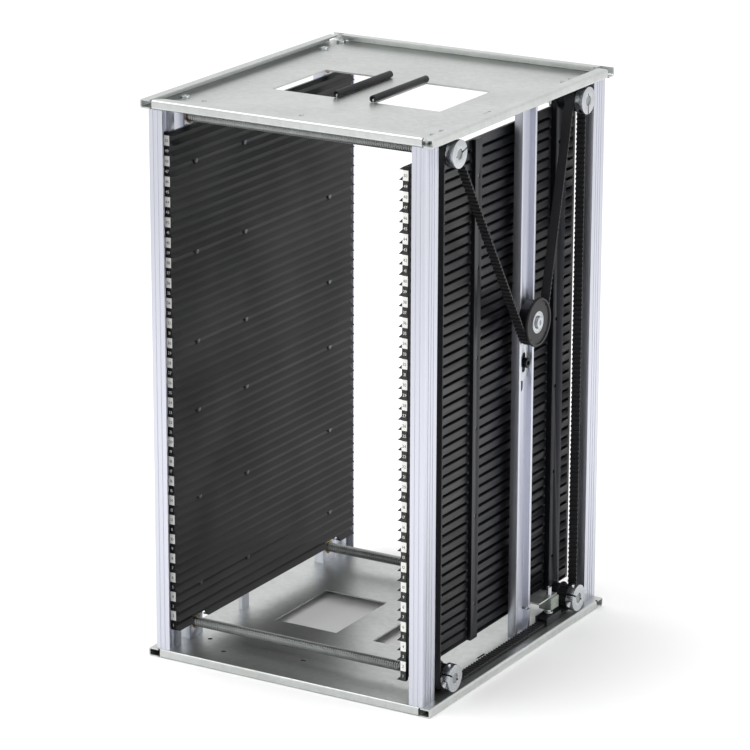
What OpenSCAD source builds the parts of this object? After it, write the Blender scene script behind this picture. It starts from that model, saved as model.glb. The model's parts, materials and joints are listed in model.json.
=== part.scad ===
// Board magazine rack with one fixed and one sliding slotted wall, moved by four belt-driven lead screws.
// X runs along the lead screws, Y from the front opening to the back, Z up from the floor.

/* [Overall] */
// Width of the plates, left to right
rack_w = 320; // [312:1:400]
// Depth of the plates, front to back
rack_d = 355; // [350:1:420]
// Height of the rack
rack_h = 563; // [560:1:620]
// Distance that the sliding wall has been moved in from its widest place
wall_in = 0; // [0:1:200]

/* [Plates] */
// Thickness of the plate sheet
sheet = 1.5; // [1.2:0.1:2]
// Height of the folded rims
rim_h = 9; // [8:0.5:10]
// Width of the rims' inward lips
lip_w = 11; // [8:0.5:12]
// Outside radius of the sheet bends
bend_r = 2.4; // [2:0.1:3]
// Length of side rim left out at the back corners
side_gap = 13; // [10:1:16]
// Length of front rim and of back lip left out at each end
end_gap = 13; // [12:1:16]
// Width of each hand cut-out
cut_w = 72; // [60:1:80]
// Depth of each hand cut-out
cut_d = 100; // [80:1:120]
// Width of the strip between the two cut-outs
cut_strip = 42; // [36:1:50]
// Outside diameter of the split grip tubes
grip_d = 7; // [6:0.5:8]
// Wall of the grip tubes
grip_wall = 1.4; // [1:0.1:1.8]
// Height of the flange that each grip tube is pushed over
grip_flange = 5; // [4.5:0.1:5.5]

/* [Posts] */
// Width of a corner post
post_w = 15; // [14:0.5:16]
// Depth of a corner post
post_d = 23; // [20:0.5:26]
// Wall of the posts
post_wall = 2; // [1.6:0.1:2.2]
// Depth of the box behind a corner post's open channel
post_box = 9.2; // [8:0.1:9.2]
// Distance from the plate's side edge to a corner post
post_in = 9; // [8.5:0.5:10]
// Distance from the plate's front or back edge to a corner post
post_back = 1; // [0.5:0.5:3]
// Width of the middle post
mid_d = 29; // [26:1:32]
// Depth of the middle post's channel
mid_w = 9; // [8:0.5:9]
// Wall of the middle post's web
mid_web = 2.8; // [2:0.1:3]
// Thickness of the middle post's side walls
mid_lip = 3.6; // [3:0.2:4.5]
// Distance of the middle post behind the rack's centre
mid_y = 44; // [40:1:50]

/* [Slotted walls] */
// Number of board slots
slots = 50; // [50:2:50]
// Height from one slot to the next
pitch = 10; // [10:0.1:10]
// Height of the walls' lower edge above the floor
wall_z = 28; // [28:0.5:29]
// Length of the walls, front to back
wall_len = 334; // [320:1:336]
// Distance from the tooth tips to the slot floor
tooth = 4.4; // [3.5:0.1:4.6]
// Height of a tooth at its root
tooth_h = 4.2; // [3.6:0.1:5]
// Thickness of the moulding at the slot floor
floor_t = 2.6; // [2:0.1:3]
// Thickness of the moulding under a tooth
skin = 0.9; // [0.8:0.1:1.1]
// Height of the solid cap above the top slot
cap_h = 3; // [2:0.5:3]
// Thickness of the front flange that carries the numbered strip
flange_t = 4; // [3:0.5:5]
// Reach of the front flange behind the tooth tips
flange_w = 10.4; // [10.2:0.1:10.4]
// Distance from the plate's left edge to the fixed wall's tooth tips
fixed_in = 30; // [30:0.5:32]
// Distance from the plate's right edge to the sliding wall's tooth tips
sliding_in = 43; // [43:0.5:45]
// Width of a numbered strip
strip_w = 5.8; // [5:0.1:5.8]
// Thickness of a numbered strip
strip_t = 0.4; // [0.3:0.1:0.6]
// Distance of the middle column of panel screws in front of the rack's centre
mid_column = 36; // [30:1:40]
// Diameter of the panel screws
panel_screw_d = 4; // [3:0.5:4]

/* [Columns and rails] */
// Width of a fixed column
column_w = 11; // [10:0.5:11]
// Depth of a fixed column
column_d = 23; // [22:0.5:24]
// Depth of the sliding wall's front and back rails
rail_d = 22; // [20:0.5:23]
// Thickness of the sliding wall's front and back rails
rail_t = 5.5; // [4:0.5:5.5]
// Depth of the flat middle rails
flat_d = 13; // [12:0.5:14]
// Thickness of the flat middle rails
flat_t = 4; // [3:0.5:4]

/* [Lead screws and belt drive] */
// Diameter of the lead screws
screw_d = 10; // [9:0.5:10]
// Distance from the plate's front or back edge to the lead screws
screw_in = 50.5; // [48:0.5:53]
// Distance from the plate's inner face to the lead screws
screw_rise = 15; // [15:0.5:15.5]
// Radial running clearance of the lead screws in their bushes and nuts
run = 0.05; // [0.03:0.01:0.08]
// Wall of the screw bushes
bush_wall = 2; // [1.5:0.1:2.5]
// Diameter of the lead nuts
nut_d = 15; // [14:0.1:15]
// Length of the lead nuts
nut_len = 18; // [12:1:22]
// Thickness of the lead nuts' flange
nut_flange = 3; // [2:0.5:4]
// Spacing of the belt teeth
belt_pitch = 5; // [5:0.01:5.02]
// Width of the belt
belt_w = 9.5; // [8:0.5:9.5]
// Thickness of the belt between its teeth
belt_t = 1; // [0.8:0.1:1.2]
// Height of the belt teeth
belt_tooth = 1.2; // [1:0.1:1.3]
// Number of teeth on each drive pulley
pulley_teeth = 16; // [16:1:16]
// Thickness of the drive pulleys' flanges
pulley_flange = 0.8; // [0.6:0.1:0.9]
// Diameter of the clamp collars
collar_d = 27; // [24:0.5:28]
// Width of the clamp collars
collar_w = 8; // [7:0.5:8]
// Width of the slit in a clamp collar
slit = 1.6; // [1.2:0.1:2]
// Distance from the plate's side edge in to the collars' outer faces
collar_in = 1.5; // [1:0.1:2]

/* [Idler] */
// Height of the idler's centre
idler_z = 334.5; // [325:0.5:345]
// Diameter of the idler's running surface
idler_track = 42; // [40:0.5:43]
// Diameter of the idler's knurled outer flange
idler_d = 49; // [48.5:0.5:52]
// Number of notches round the idler's flange
idler_notches = 40; // [30:1:48]
// Outside diameter of the idler's ball bearing
ball_od = 22; // [22:1:22]
// Bore of the ball bearing
ball_id = 8; // [8:1:8]
// Width of the ball bearing
ball_w = 7; // [6.5:0.1:7]
// Thickness of the plate that carries the idler's axle
slide_t = 3; // [2.5:0.1:3]

/* [Belt lock] */
// Distance of the lock behind the rack's centre
lock_y = 88; // [86:1:92]
// Length of the lock's guide along the belt
lock_len = 30; // [26:1:32]
// Diameter of the lock screw
lock_d = 5; // [4:0.5:5]

/* [Hidden] */

$fn = 48;
eps = 0.01;
aluminium = "lightsteelblue";
steel = "silver";
black = "dimgray";

// places shared by several pieces
half_w = rack_w / 2;
half_d = rack_d / 2;
inner_h = rack_h - 2 * rim_h;
screw_y = half_d - screw_in;
low_z = rim_h + screw_rise;
high_z = rack_h - low_z;
SCREWS = [[-screw_y, low_z], [screw_y, low_z], [-screw_y, high_z], [screw_y, high_z]];

// side posts
post_x = half_w - post_in - post_w / 2;
post_y = half_d - post_back - post_d / 2;
port_d = 5;
port_wall = 1.65;
port_out = 1.4;
box_in = 1.3;
groove_w = 1;
groove_t = 0.5;

// slotted walls: every place is measured from the tooth tips, the wall facing +x
wall_t = tooth + floor_t;
hollow_reach = 0.55;
hollow_rise = 0.2;
half_slots = slots / 2;
half_h = half_slots * pitch;
wall_top = wall_z + slots * pitch + cap_h;
fixed_tip = -(half_w - fixed_in);
sliding_tip = half_w - sliding_in - wall_in;
screw_slots = [3, 12, 21];
flat_gap = 4;
columns_y = [-screw_y + flat_gap, -mid_column, screw_y - flat_gap];
notch_w = rail_d + 3;
notch_z = low_z + nut_d / 2 + 1 - wall_z;
head_h = 1.6;
head_d = 5.4;
bore_play = 0.1;
thread_len = 9;

// fixed columns and sliding rails
column_x = fixed_tip - wall_t - column_w / 2;
rail_x = sliding_tip + wall_t + rail_t / 2;
rail_end = 1;

// right-hand stack, from the collars' outer faces inward
collar_x = half_w - collar_in;
pulley_x = collar_x - collar_w - 0.1;
belt_play = 0.25;
pulley_w = belt_w + 2 * belt_play + 2 * pulley_flange;
belt_x = pulley_x - pulley_flange - belt_play - belt_w / 2;
block_face = pulley_x - pulley_w - 0.4;
block_w = 8;
block_d = 23;
mid_face = belt_x - belt_w / 2 - 0.6;
left_end = column_x - column_w / 2 + 1;

// belt path in the Y-Z plane: pitch line round four pulleys and under the idler
pitch_r = pulley_teeth * belt_pitch / (2 * PI);
belt_gap = 0.3;
idler_r = idler_track / 2 + belt_gap + belt_t / 2;

function turn(v, a) = [v[0] * cos(a) - v[1] * sin(a), v[0] * sin(a) + v[1] * cos(a)];
function side(v) = [v[1], -v[0]];
function angle(v) = atan2(v[1], v[0]);
function cross_dir(from, to, r, way) =
    turn((to - from) / norm(to - from), way * asin(r / norm(to - from)));

idler_c = [mid_y, idler_z];
dir_in = cross_dir(SCREWS[3], idler_c, pitch_r + idler_r, 1);
dir_out = cross_dir(idler_c, SCREWS[2], pitch_r + idler_r, -1);
wrap_back = angle(side(dir_in)) + (angle(side(dir_in)) < 0 ? 360 : 0);
wrap_front = angle(side(dir_out)) + (angle(side(dir_out)) < 0 ? 360 : 0);
idler_from = angle(-side(dir_in)) + (angle(-side(dir_in)) < 0 ? 360 : 0);
idler_to = angle(-side(dir_out)) + (angle(-side(dir_out)) < 0 ? 360 : 0);

// each stretch: [start point, direction, length] or [centre, radius, start angle, turn, length]
function straight(a, b) = [a, (b - a) / norm(b - a), norm(b - a)];
function wrap(c, r, a0, a1) = [c, r, a0, a1 - a0, abs(a1 - a0) * PI * r / 180];
out_back = SCREWS[3] + pitch_r * side(dir_in);
in_idler = idler_c - idler_r * side(dir_in);
out_idler = idler_c - idler_r * side(dir_out);
in_front = SCREWS[2] + pitch_r * side(dir_out);
PATH = [
    straight(SCREWS[0] + [0, -pitch_r], SCREWS[1] + [0, -pitch_r]),
    wrap(SCREWS[1], pitch_r, 270, 360),
    straight(SCREWS[1] + [pitch_r, 0], SCREWS[3] + [pitch_r, 0]),
    wrap(SCREWS[3], pitch_r, 0, wrap_back),
    straight(out_back, in_idler),
    wrap(idler_c, idler_r, idler_from, idler_to),
    straight(out_idler, in_front),
    wrap(SCREWS[2], pitch_r, wrap_front, 180),
    straight(SCREWS[2] + [-pitch_r, 0], SCREWS[0] + [-pitch_r, 0]),
    wrap(SCREWS[0], pitch_r, 180, 270)
];
function len_of(s) = s[len(s) - 1];
function sum_to(i) = i == 0 ? 0 : sum_to(i - 1) + len_of(PATH[i - 1]);
STARTS = [for (i = [0 : len(PATH)]) sum_to(i)];
belt_len = STARTS[len(PATH)];
belt_teeth = round(belt_len / belt_pitch);
step = belt_len / belt_teeth;

function on_stretch(s, t, off) =
    len(s) == 3
    ? s[0] + s[1] * t + side(s[1]) * off
    : s[0] + (s[1] + off * sign(s[3])) * [cos(s[2] + s[3] * t / s[4]), sin(s[2] + s[3] * t / s[4])];
function stretch_at(s, i = 0) = i == len(PATH) - 1 || s < STARTS[i + 1] ? i : stretch_at(s, i + 1);
function on_belt(s, off) =
    let (w = s < 0 ? s + belt_len : s >= belt_len ? s - belt_len : s)
    let (i = stretch_at(w))
    on_stretch(PATH[i], w - STARTS[i], off);

root_half = 1.33;
tip_half = 0.92;
groove_play = 0.25;
back_steps = 12;

// angle of the first belt tooth on the pulley wrapped by stretch i
function first_tooth(i) =
    let (k = ceil(STARTS[i] / step))
    PATH[i][2] + (k * step - STARTS[i]) * 180 / (PI * pitch_r);

// slotted walls ------------------------------------------------------------

// one tooth and the slot floor above it, seen along the wall, tips at x = 0
function tooth_points(z) = [[-tooth, z], [0, z], [-tooth, z + tooth_h]];
// the hollow moulded into the back of that tooth
function hollow_points(z) = [
    [-wall_t, z + tooth_h + hollow_rise], [-tooth * hollow_reach, z + skin + hollow_rise], [-wall_t, z + skin]
];

module wall_outline(hollow) {
    inner = [for (i = [0 : half_slots - 1], p = tooth_points(i * pitch)) p];
    outer = [for (i = [half_slots - 1 : -1 : 0], p = hollow_points(i * pitch)) p];
    base = [[-wall_t, 0]];
    top = [[-tooth, half_h], [-wall_t, half_h]];
    polygon(concat(inner, top, hollow ? outer : [], base));
}

module along_y(from, to) {
    translate([0, to, 0])
        rotate([90, 0, 0])
            linear_extrude(to - from)
                children();
}

// half a wall, with closed bands where the rails and screws are
module panel(first, capped) {
    front = -wall_len / 2;
    back = wall_len / 2;
    band = flat_d / 2;
    difference() {
        union() {
            along_y(front, back)
                wall_outline(true);
            for (y = columns_y)
                along_y(y - band, y + band)
                    wall_outline(false);
            along_y(back - flange_t, back)
                wall_outline(false);
            along_y(front, front + flange_t)
                wall_outline(false);
            translate([-flange_w, front, 0])
                cube([flange_w - tooth, flange_t, half_h + (capped ? cap_h : 0)]);
            if (capped)
                along_y(front, back)
                    polygon([[-wall_t, half_h], [0, half_h], [-tooth, half_h + cap_h], [-wall_t, half_h + cap_h]]);
        }
        for (y = columns_y, k = screw_slots)
            translate([-wall_t - eps, y, (k + 0.5) * pitch + tooth_h / 2])
                rotate([0, 90, 0])
                    cylinder(h = wall_t + 1, d = panel_screw_d + bore_play);
        if (first)
            for (y = [-screw_y, screw_y])
                translate([-wall_t - eps, y - notch_w / 2, -eps])
                    cube([wall_t + 1, notch_w, notch_z]);
    }
}

module number_strip() {
    color("white")
        translate([-tooth - strip_w, -wall_len / 2 - strip_t, wall_z])
            cube([strip_w, strip_t, slots * pitch + cap_h]);
}

module panel_screws(reach) {
    color(black)
        for (half = [0, 1], y = columns_y, k = screw_slots)
            translate([-tooth, y, wall_z + half * half_h + (k + 0.5) * pitch + tooth_h / 2])
                rotate([0, 90, 0]) {
                    cylinder(h = head_h, d = head_d);
                    translate([0, 0, -reach])
                        cylinder(h = reach, d = panel_screw_d);
                }
}

module on_fixed() {
    translate([fixed_tip, 0, 0])
        children();
}

module on_sliding() {
    translate([sliding_tip, 0, 0])
        mirror([1, 0, 0])
            children();
}

module panel_holes(x, y, depth) {
    for (half = [0, 1], k = screw_slots)
        translate([x, y, wall_z + half * half_h + (k + 0.5) * pitch + tooth_h / 2])
            rotate([0, 90, 0])
                cylinder(h = depth, d = panel_screw_d + bore_play);
}

module fixed_panel_lower() {
    color(black)
        on_fixed()
            translate([0, 0, wall_z])
                panel(true, false);
}

module fixed_panel_upper() {
    color(black)
        on_fixed()
            translate([0, 0, wall_z + half_h])
                panel(false, true);
}

module fixed_number_strip() {
    on_fixed()
        number_strip();
}

module fixed_panel_screws() {
    on_fixed()
        panel_screws(floor_t + flat_t - 0.5);
}

module sliding_panel_lower() {
    color(black)
        on_sliding()
            translate([0, 0, wall_z])
                panel(true, false);
}

module sliding_panel_upper() {
    color(black)
        on_sliding()
            translate([0, 0, wall_z + half_h])
                panel(false, true);
}

module sliding_number_strip() {
    on_sliding()
        number_strip();
}

module sliding_panel_screws() {
    on_sliding()
        panel_screws(floor_t + flat_t - 0.5);
}

// columns and rails --------------------------------------------------------

module fixed_column(y, hole_y) {
    color(aluminium)
        difference() {
            translate([column_x - column_w / 2, y - column_d / 2, rim_h])
                cube([column_w, column_d, inner_h]);
            for (z = [low_z, high_z])
                translate([column_x - column_w / 2 - 1, y, z])
                    rotate([0, 90, 0])
                        cylinder(h = column_w + 2, d = screw_d + 2 * bush_wall);
            panel_holes(column_x, hole_y, column_w);
            end_holes(column_x, y, port_d, thread_len);
        }
}

// tapped holes in both ends of an upright
module end_holes(x, y, d, depth) {
    for (z = [rim_h - eps, rack_h - rim_h - depth + eps])
        translate([x, y, z])
            cylinder(h = depth, d = d + bore_play);
}

module fixed_column_front() {
    fixed_column(-screw_y, columns_y[0]);
}

module fixed_column_back() {
    fixed_column(screw_y, columns_y[2]);
}

module fixed_rail_middle() {
    color(aluminium)
        difference() {
            translate([fixed_tip - wall_t - flat_t, -mid_column - flat_d / 2, rim_h])
                cube([flat_t, flat_d, inner_h]);
            panel_holes(fixed_tip - wall_t - flat_t - 1, -mid_column, flat_t + 2);
        }
}

module sliding_rail(y, hole_y) {
    color(black)
        difference() {
            translate([rail_x - rail_t / 2, y - rail_d / 2, rim_h + rail_end])
                cube([rail_t, rail_d, inner_h - 2 * rail_end]);
            for (z = [low_z, high_z])
                translate([rail_x - rail_t / 2 - 1, y, z])
                    rotate([0, 90, 0])
                        cylinder(h = rail_t + 2, d = nut_d);
            panel_holes(rail_x - rail_t / 2 - 1, hole_y, rail_t + 2);
        }
}

module sliding_rail_front() {
    sliding_rail(-screw_y, columns_y[0]);
}

module sliding_rail_back() {
    sliding_rail(screw_y, columns_y[2]);
}

module sliding_rail_middle() {
    color(black)
        difference() {
            translate([sliding_tip + wall_t, -mid_column - flat_d / 2, wall_z])
                cube([flat_t, flat_d, wall_top - wall_z]);
            panel_holes(sliding_tip + wall_t - 1, -mid_column, flat_t + 2);
        }
}

// flanged nuts that carry the sliding wall along the lead screws
module lead_nuts() {
    flange_h = nut_d;
    color("gainsboro")
        for (p = SCREWS)
            translate([rail_x + rail_t / 2, p[0], p[1]])
                rotate([0, -90, 0])
                    difference() {
                        union() {
                            cylinder(h = nut_len, d = nut_d);
                            translate([-flange_h / 2, -rail_d / 2, rail_t])
                                cube([flange_h, rail_d, nut_flange]);
                        }
                        translate([0, 0, -1])
                            cylinder(h = nut_len + 2, d = screw_d + 2 * run);
                    }
}

// plates and posts ---------------------------------------------------------

// C section of a folded rim, open towards +x, its web on the y axis
module rim_section(w) {
    inner_r = bend_r - sheet;
    difference() {
        union() {
            translate([bend_r, 0])
                square([w - bend_r, rim_h]);
            translate([0, bend_r])
                square([bend_r, rim_h - 2 * bend_r]);
            for (z = [bend_r, rim_h - bend_r])
                translate([bend_r, z])
                    circle(bend_r);
        }
        translate([bend_r, sheet])
            square([w, rim_h - 2 * sheet]);
        translate([sheet, bend_r])
            square([bend_r, rim_h - 2 * bend_r]);
        for (z = [bend_r, rim_h - bend_r])
            translate([bend_r, z])
                circle(inner_r);
    }
}

// a rim of given length, its outer face on x = 0, running along +y
module rim(length, w) {
    translate([0, length, 0])
        rotate([90, 0, 0])
            linear_extrude(length)
                rim_section(w);
}

module at_uprights() {
    port_x = post_x + port_out;
    for (x = [-port_x, port_x], y = [-post_y, post_y])
        translate([x, y, 0])
            children();
    for (y = [-screw_y, screw_y])
        translate([column_x, y, 0])
            children();
}

module at_block_screws() {
    for (y = [-screw_y, screw_y], s = [-1, 1])
        translate([block_face - block_w / 2, y + s * block_screw, 0])
            children();
}
block_screw = 8.6;
block_screw_d = 3;

// lower plate, rims folded down; the upper plate is its mirror image
module plate() {
    side_len = rack_d - side_gap;
    front_len = rack_w - 2 * end_gap;
    cut_in = cut_strip / 2;
    difference() {
        union() {
            translate([-half_w + bend_r, -half_d + bend_r, rim_h - sheet])
                cube([rack_w - 2 * bend_r, rack_d - 2 * bend_r, sheet]);
            translate([-half_w, -half_d, 0])
                rim(side_len, lip_w);
            translate([half_w, -half_d, 0])
                mirror([1, 0, 0])
                    rim(side_len, lip_w);
            translate([-front_len / 2, -half_d, 0])
                front_rim(front_len);
            translate([-half_w, half_d, 0])
                back_rim();
        }
        for (s = [-1, 1])
            translate([s > 0 ? cut_in : -cut_in - cut_w, -cut_d / 2, -1])
                cube([cut_w, cut_d, rim_h + 2]);
        at_uprights()
            cylinder(h = rim_h + 1, d = port_d + 2 * bore_play);
        at_block_screws()
            cylinder(h = rim_h + 1, d = block_screw_d + 2 * bore_play);
        for (p = drain_holes)
            translate([p[0], p[1], rim_h - 2 * sheet])
                cylinder(h = 3 * sheet, d = drain_d);
        translate([adjust_x, -adjust_y, rim_h - 2 * sheet])
            cube([adjust_w, adjust_len, 3 * sheet]);
    }
}
drain_holes = [[-120, -128], [-90, -150], [-10, -130]];
drain_d = 5;
adjust_x = 132;
adjust_y = 38;
adjust_w = 2.5;
adjust_len = 15;

// front rim with its lip ends cut at 45 degrees
module front_rim(length) {
    difference() {
        rotate([0, 0, -90])
            mirror([1, 0, 0])
                rim(length, lip_w);
        for (x = [0, length])
            translate([x, lip_w, -eps])
                rotate([0, 0, 45])
                    translate([-lip_w / 2, -lip_w / 2, 0])
                        cube([lip_w, lip_w, rim_h - 2 * sheet]);
    }
}

// back rim: its web runs full width, its lip stops short of both ends
module back_rim() {
    difference() {
        rotate([0, 0, -90])
            rim(rack_w, lip_w);
        for (x = [-eps, rack_w - end_gap])
            translate([x, -lip_w - eps, -eps])
                cube([end_gap + eps, lip_w - bend_r + eps, rim_h - sheet]);
    }
}

module bottom_plate() {
    color(steel)
        plate();
}

module top_plate() {
    flange_x = cut_strip / 2 - sheet;
    color(steel) {
        translate([0, 0, rack_h])
            mirror([0, 0, 1])
                plate();
        for (s = [-1, 1])
            translate([s > 0 ? flange_x : -flange_x - sheet, -cut_d / 2, rack_h - rim_h])
                cube([sheet, cut_d, grip_flange]);
    }
}

// split tube pushed over the flange at the inner edge of each hand cut-out
module grip_tubes() {
    seat_x = cut_strip / 2 - sheet / 2;
    color(black)
        for (s = [-1, 1])
            translate([s * seat_x, -cut_d / 2 - 1, rack_h - rim_h + sheet + grip_d / 2 + 0.05])
                rotate([-90, 0, 0])
                    difference() {
                        cylinder(h = cut_d + 2, d = grip_d);
                        translate([0, 0, -1])
                            cylinder(h = cut_d + 4, d = grip_d - 2 * grip_wall);
                        translate([-sheet / 2 - bore_play, 0, -1])
                            cube([sheet + 2 * bore_play, grip_d, cut_d + 4]);
                    }
}

// corner post: a channel open inwards with a screw port, and a box behind it; grooved faces towards -y and +x
module post() {
    cavity_w = post_w - box_in - 2 * post_wall;
    channel_d = post_d - post_wall - post_box;
    color(aluminium)
        translate([0, 0, rim_h])
            linear_extrude(inner_h)
                difference() {
                    square([post_w, post_d], center = true);
                    difference() {
                        translate([-post_w / 2 - eps, -post_d / 2 + post_wall])
                            square([post_w - post_wall + eps, channel_d]);
                        translate([port_out, 0])
                            circle(d = port_d + 2 * port_wall);
                    }
                    translate([-post_w / 2 - eps, post_d / 2 - post_box - eps])
                        square([box_in + eps, post_box + 1]);
                    translate([-post_w / 2 + box_in + post_wall, post_d / 2 - post_box + post_wall])
                        square([cavity_w, post_box - 2 * post_wall]);
                    translate([port_out, 0])
                        circle(d = port_d + bore_play);
                    for (x = [-post_w / 6, post_w / 6])
                        translate([x - groove_w / 2, -post_d / 2 - eps])
                            square([groove_w, groove_t + eps]);
                    for (y = [-post_d / 5, 0, post_d / 5])
                        translate([post_w / 2 - groove_t, y - groove_w / 2])
                            square([groove_t + eps, groove_w]);
                }
}

module post_front_left() {
    translate([-post_x, -post_y, 0])
        mirror([1, 0, 0])
            post();
}

module post_front_right() {
    translate([post_x, -post_y, 0])
        post();
}

module post_back_left() {
    translate([-post_x, post_y, 0])
        rotate([0, 0, 180])
            post();
}

module post_back_right() {
    translate([post_x, post_y, 0])
        mirror([0, 1, 0])
            post();
}

// channel open to +x that carries the idler and the belt lock
module middle_post() {
    web_x = mid_face - mid_w;
    color(aluminium)
        difference() {
            translate([web_x, mid_y - mid_d / 2, rim_h])
                cube([mid_w, mid_d, inner_h]);
            translate([web_x + mid_web, mid_y - mid_d / 2 + mid_lip, rim_h - 1])
                cube([mid_w, mid_d - 2 * mid_lip, inner_h + 2]);
            slot_hole(web_x - 1, mid_web + 2, slide_slot, idler_z - slide_low, idler_z + slide_slot);
            for (y = [lock_screw_a, lock_screw_b])
                translate([bracket_x + bracket_w / 2 + y, mid_y + mid_d / 2 + 1, bracket_z + bracket_h / 2])
                    rotate([90, 0, 0])
                        cylinder(h = mid_lip + 2, d = block_screw_d + bore_play);
        }
}

// round-ended slot through a plate standing on x, from height z0 to z1
module slot_hole(x, depth, w, z0, z1) {
    translate([x, mid_y, 0]) {
        for (z = [z0 + w / 2, z1 - w / 2])
            translate([0, 0, z])
                rotate([0, 90, 0])
                    cylinder(h = depth, d = w);
        translate([0, -w / 2, z0 + w / 2])
            cube([depth, w, z1 - z0 - w]);
    }
}

// screw bearings -----------------------------------------------------------

// blocks under both plates that carry the right-hand ends of the lead screws
module bearing_blocks() {
    block_h = screw_rise;
    color(black)
        for (p = SCREWS)
            difference() {
                translate([block_face - block_w, p[0], 0]) {
                    translate([0, -block_d / 2, p[1] < rack_h / 2 ? rim_h : p[1]])
                        cube([block_w, block_d, block_h]);
                    translate([0, 0, p[1]])
                        rotate([0, 90, 0])
                            cylinder(h = block_w, d = block_d);
                }
                translate([block_face - block_w - 1, p[0], p[1]])
                    rotate([0, 90, 0])
                        cylinder(h = block_w + 2, d = screw_d + 2 * bush_wall);
                for (s = [-1, 1])
                    translate([block_face - block_w / 2, p[0] + s * block_screw, p[1] < rack_h / 2 ? rim_h - eps : rack_h - rim_h - thread_len + eps])
                        cylinder(h = thread_len, d = block_screw_d + bore_play);
            }
}

module bush(length) {
    rotate([0, 90, 0])
        difference() {
            cylinder(h = length, d = screw_d + 2 * bush_wall);
            translate([0, 0, -1])
                cylinder(h = length + 2, d = screw_d + 2 * run);
        }
}

module screw_bushes_left() {
    color("tan")
        for (p = SCREWS)
            translate([column_x - column_w / 2, p[0], p[1]])
                bush(column_w);
}

module screw_bushes_right() {
    color("tan")
        for (p = SCREWS)
            translate([block_face - block_w, p[0], p[1]])
                bush(block_w);
}

// lead screws and their drive ----------------------------------------------

module lead_screw(p) {
    color(steel)
        translate([left_end, p[0], p[1]])
            rotate([0, 90, 0])
                cylinder(h = collar_x - 1 - left_end, d = screw_d);
}

module pulley(p, phase) {
    crown_r = pitch_r - belt_t / 2 - belt_gap;
    root_r = pitch_r - belt_t / 2 - belt_tooth - belt_gap;
    flange_r = pitch_r + belt_t / 2 + 0.4;
    wide = (root_half + groove_play) * 180 / (PI * pitch_r);
    narrow = (tip_half + groove_play) * 180 / (PI * pitch_r);
    outline = [
        for (i = [0 : pulley_teeth - 1], q = [[-wide, crown_r], [-narrow, root_r], [narrow, root_r], [wide, crown_r]])
            let (a = phase + i * 360 / pulley_teeth + q[0])
            q[1] * [cos(a), sin(a)]
    ];
    color(black)
        translate([pulley_x - pulley_w, p[0], p[1]])
            rotate([90, 0, 90])
                difference() {
                    union() {
                        linear_extrude(pulley_w)
                            polygon(outline);
                        for (z = [0, pulley_w - pulley_flange])
                            translate([0, 0, z])
                                cylinder(h = pulley_flange, r = flange_r);
                    }
                    translate([0, 0, -1])
                        cylinder(h = pulley_w + 2, d = screw_d + bore_play);
                }
}

// where the clamp screw crosses a collar's slit
clamp_at = 9;
clamp_d = 4;
clamp_head = 6;
clamp_seat = 3.2;

// clamp collar slit along its local x, clamp screw along its local y
module collar(p, a) {
    half = collar_w / 2;
    color(steel)
        translate([collar_x - collar_w, p[0], p[1]])
            rotate([90, 0, 90])
                rotate([0, 0, a])
                    difference() {
                        cylinder(h = collar_w, d = collar_d);
                        translate([0, 0, -1])
                            cylinder(h = collar_w + 2, d = screw_d + bore_play);
                        translate([0, -slit / 2, -1])
                            cube([collar_d, slit, collar_w + 2]);
                        translate([-screw_d / 2 - 2, -slit / 2, -1])
                            cube([screw_d / 2, slit, collar_w + 2]);
                        translate([clamp_at, -collar_d / 2, half])
                            rotate([-90, 0, 0])
                                cylinder(h = collar_d, d = clamp_d + bore_play);
                        translate([clamp_at, clamp_seat, half])
                            rotate([-90, 0, 0])
                                cylinder(h = collar_d, d = clamp_head + bore_play);
                    }
}

module collar_screw(p, a) {
    half = collar_w / 2;
    reach = 7.5;
    socket = 3;
    socket_t = 1.8;
    head = 3.4;
    color("dimgray")
        translate([collar_x - collar_w, p[0], p[1]])
            rotate([90, 0, 90])
                rotate([0, 0, a])
                    translate([clamp_at, clamp_seat, half])
                        rotate([-90, 0, 0])
                            difference() {
                                union() {
                                    cylinder(h = head, d = clamp_head);
                                    translate([0, 0, -clamp_seat - reach])
                                        cylinder(h = clamp_seat + reach, d = clamp_d);
                                }
                                translate([0, 0, head - socket_t])
                                    cylinder(h = socket_t + 1, d = socket, $fn = 6);
                            }
}

// slit directions of the four collars, counted from the rack's back towards its top
slit_angles = [150, 152, 15, 270];
wrap_index = [9, 1, 7, 3];

module lead_screw_bottom_front() {
    lead_screw(SCREWS[0]);
}

module lead_screw_bottom_back() {
    lead_screw(SCREWS[1]);
}

module lead_screw_top_front() {
    lead_screw(SCREWS[2]);
}

module lead_screw_top_back() {
    lead_screw(SCREWS[3]);
}

module pulley_bottom_front() {
    pulley(SCREWS[0], first_tooth(wrap_index[0]));
}

module pulley_bottom_back() {
    pulley(SCREWS[1], first_tooth(wrap_index[1]));
}

module pulley_top_front() {
    pulley(SCREWS[2], first_tooth(wrap_index[2]));
}

module pulley_top_back() {
    pulley(SCREWS[3], first_tooth(wrap_index[3]));
}

module collar_bottom_front() {
    collar(SCREWS[0], slit_angles[0]);
}

module collar_bottom_back() {
    collar(SCREWS[1], slit_angles[1]);
}

module collar_top_front() {
    collar(SCREWS[2], slit_angles[2]);
}

module collar_top_back() {
    collar(SCREWS[3], slit_angles[3]);
}

module collar_screw_bottom_front() {
    collar_screw(SCREWS[0], slit_angles[0]);
}

module collar_screw_bottom_back() {
    collar_screw(SCREWS[1], slit_angles[1]);
}

module collar_screw_top_front() {
    collar_screw(SCREWS[2], slit_angles[2]);
}

module collar_screw_top_back() {
    collar_screw(SCREWS[3], slit_angles[3]);
}

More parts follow.
